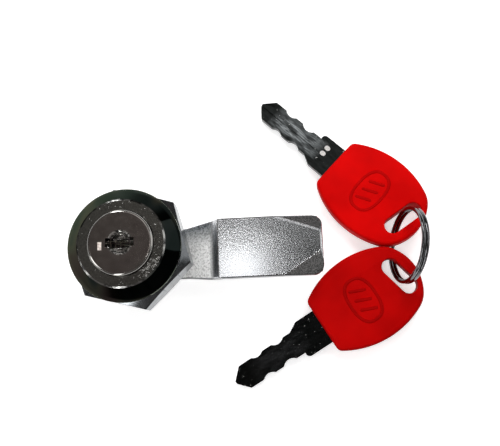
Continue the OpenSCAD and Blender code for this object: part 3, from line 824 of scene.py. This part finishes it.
# Each node's material, the width of its broken edges in millimetres and, where it isn't 25, the
# least turn in degrees of an edge that is broken
NODE_FINISH = {
    "plug": ("plug_chrome", 0.06), "wafer_springs": ("spring_steel", 0.0),
    "toothed_washer": ("zinc_steel", 0.08), "hex_nut": ("nut_steel", 0.22),
    "stop_washer": ("zinc_steel", 0.08), "cam": ("cast_zinc", 0.3, 9),
    "spring_washer": ("zinc_steel", 0.08), "cam_screw": ("zinc_steel", 0.1),
    "key_blade_1": ("key_nickel_1", 0.1), "key_blade_2": ("key_nickel_2", 0.1),
    **{f"wafer_{n}": ("wafer_metal", 0.0) for n in range(1, 7)},
}


def finish_nodes():
    """Gives each CAD node that is shown its material, and breaks its sharp edges."""
    for name, (mat, edge, *least) in NODE_FINISH.items():
        node = NODES[name]
        node.data.materials.clear()
        node.data.materials.append(MATS[mat])
        if edge:
            weld = node.modifiers.new("weld", "WELD")
            weld.merge_threshold = WELD * MM
            bevel = node.modifiers.new("edges", "BEVEL")
            bevel.width = edge * MM
            bevel.segments = 2
            bevel.limit_method = "ANGLE"
            bevel.angle_limit = math.radians(*least or (25,))
            # The cam's short bend faces would hold its bevel to nothing
            bevel.use_clamp_overlap = name != "cam"


# ---------------------------------------------------------------- stage, light and camera

def floor():
    """A plain pale floor 3 m wide, white in the picture, that keeps a soft shadow. It lies 0.1 mm
    below the object."""
    half = 1.5
    z = (FLOOR_Z - 0.1) * MM
    mesh = bpy.data.meshes.new("floor")
    mesh.from_pydata([(-half, -half, z), (half, -half, z), (half, half, z), (-half, half, z)], [],
                     [(0, 1, 2, 3)])
    plane = add_object("floor", mesh)
    mat = bpy.data.materials.new("floor")
    mat.use_nodes = True
    nodes, links = mat.node_tree.nodes, mat.node_tree.links
    bsdf = nodes["Principled BSDF"]
    bsdf.inputs["Base Color"].default_value = (0.9, 0.9, 0.9, 1)
    bsdf.inputs["Roughness"].default_value = 0.9
    bsdf.inputs["Specular IOR Level"].default_value = 0.0
    glow = nodes.new("ShaderNodeEmission")
    glow.inputs["Strength"].default_value = WALL
    both = nodes.new("ShaderNodeAddShader")
    mix = nodes.new("ShaderNodeMixShader")
    links.new(bsdf.outputs[0], both.inputs[0])
    links.new(glow.outputs[0], both.inputs[1])
    links.new(seen_directly(nodes, links), mix.inputs["Fac"])
    links.new(bsdf.outputs[0], mix.inputs[1])
    links.new(both.outputs[0], mix.inputs[2])
    links.new(mix.outputs[0], nodes["Material Output"].inputs["Surface"])
    mesh.materials.append(mat)


def seen_directly(nodes, links):
    """1 for camera, glossy and transmission rays, and 0 for the rest."""
    path = nodes.new("ShaderNodeLightPath").outputs
    return largest(nodes, links, path["Is Camera Ray"], path["Is Glossy Ray"], path["Is Transmission Ray"])


def world():
    """A dim room with faint tints, a pale window high behind the object, and a pale low wall that
    goes on from the floor."""
    scene = bpy.context.scene
    scene.world = bpy.data.worlds.new("world")
    scene.world.use_nodes = True
    nodes, links = scene.world.node_tree.nodes, scene.world.node_tree.links
    coord = nodes.new("ShaderNodeTexCoord").outputs["Generated"]
    height = axis_values(nodes, links, coord)["Z"]
    dim = colour_ramp(nodes, links, height, (
        (0.0, 0.06), (0.2, 0.04), (0.6, 0.09), (0.90, 0.145), (0.955, 0.122), (0.98, 0.05), (1.0, 0.03)))
    clouds = nodes.new("ShaderNodeTexNoise")
    clouds.inputs["Scale"].default_value = 2.2
    links.new(coord, clouds.inputs["Vector"])
    tint = colour_ramp(nodes, links, clouds.outputs["Fac"], (
        (0.32, (0.25, 0.30, 0.28)), (0.45, (0.9, 0.9, 0.86)),
        (0.58, (1.5, 1.35, 1.3)), (0.7, (0.5, 0.45, 0.5))))
    facing = nodes.new("ShaderNodeVectorMath")
    facing.operation = "DOT_PRODUCT"
    facing.inputs[1].default_value = WINDOW_WAY
    links.new(coord, facing.inputs[0])
    window = colour_ramp(nodes, links, facing.outputs["Value"], ((0.95, 0.0), (0.985, 0.75)))
    wall = colour_ramp(nodes, links, height, ((0.07, WALL), (0.13, 0.0)))
    tinted = mix_colours(nodes, links, "MULTIPLY", 1.0, dim, tint)
    room = mix_colours(nodes, links, "ADD", 1.0, tinted, window)
    seen = mix_colours(nodes, links, "MULTIPLY", 1.0, wall, seen_directly(nodes, links))
    light = mix_colours(nodes, links, "ADD", 1.0, room, seen)
    links.new(light, nodes["Background"].inputs["Color"])


def lamp(name, at, size, watts, aim=(0.03, 0.0, -0.015), glossy=True):
    """A rectangular lamp, in metres. One that isn't glossy lights the object but isn't mirrored in it."""
    data = bpy.data.lights.new(name, "AREA")
    data.shape = "RECTANGLE"
    data.size, data.size_y = size
    data.energy = watts
    light = add_object(name, data)
    light.location = at
    light.rotation_euler = (Vector(aim) - Vector(at)).to_track_quat("-Z", "Y").to_euler()
    light.visible_camera = False
    light.visible_glossy = glossy


def lamps():
    """Two small lamps high up for glints, two that only light matt surfaces, and five round the
    object that its edges, bevel and sides mirror."""
    lamp("above", (-0.011, 0.059, 0.49), (0.05, 0.05), 0.034)
    lamp("crease", (0.127, -0.048, 0.48), (0.03, 0.03), 0.03)
    lamp("key", (0.08, 0.18, 0.20), (0.16, 0.16), 0.46, (0.05, 0.0, -0.015), glossy=False)
    lamp("near", (0.03, -0.03, 0.11), (0.03, 0.03), 0.026, (0.014, -0.002, -0.014), glossy=False)
    lamp("side", (0.20, 0.05, 0.15), (0.14, 0.14), 0.05, (0.06, 0.0, -0.015))
    lamp("front", (-0.09, -0.24, 0.17), (0.06, 0.20), 0.20)
    lamp("left", (-0.22, -0.06, 0.19), (0.08, 0.16), 0.14)
    lamp("back", (-0.10, 0.24, 0.18), (0.05, 0.16), 0.24)
    lamp("right", (0.284, 0.0995, 0.075), (0.24, 0.07), 0.048)


def camera():
    """A camera with the photograph's view."""
    data = bpy.data.cameras.new("camera")
    data.sensor_width = SENSOR_WIDTH
    data.lens = LENS
    data.clip_start = 0.005
    right = CAMERA_FORWARD.cross(CAMERA_UP).normalized()
    up = right.cross(CAMERA_FORWARD).normalized()
    turn = Matrix((right, up, -CAMERA_FORWARD.normalized())).transposed().to_4x4()
    seat = add_object("camera", data)
    seat.matrix_world = Matrix.Translation(CAMERA_AT) @ turn
    bpy.context.scene.camera = seat


camera()
make_materials()
lock_body()
for k in (0, 1):
    key_head(k)
    key_emblem(k)
key_stamp()
split_ring()
finish_nodes()
floor()
world()
lamps()
bpy.context.scene.view_settings.view_transform = "Standard"
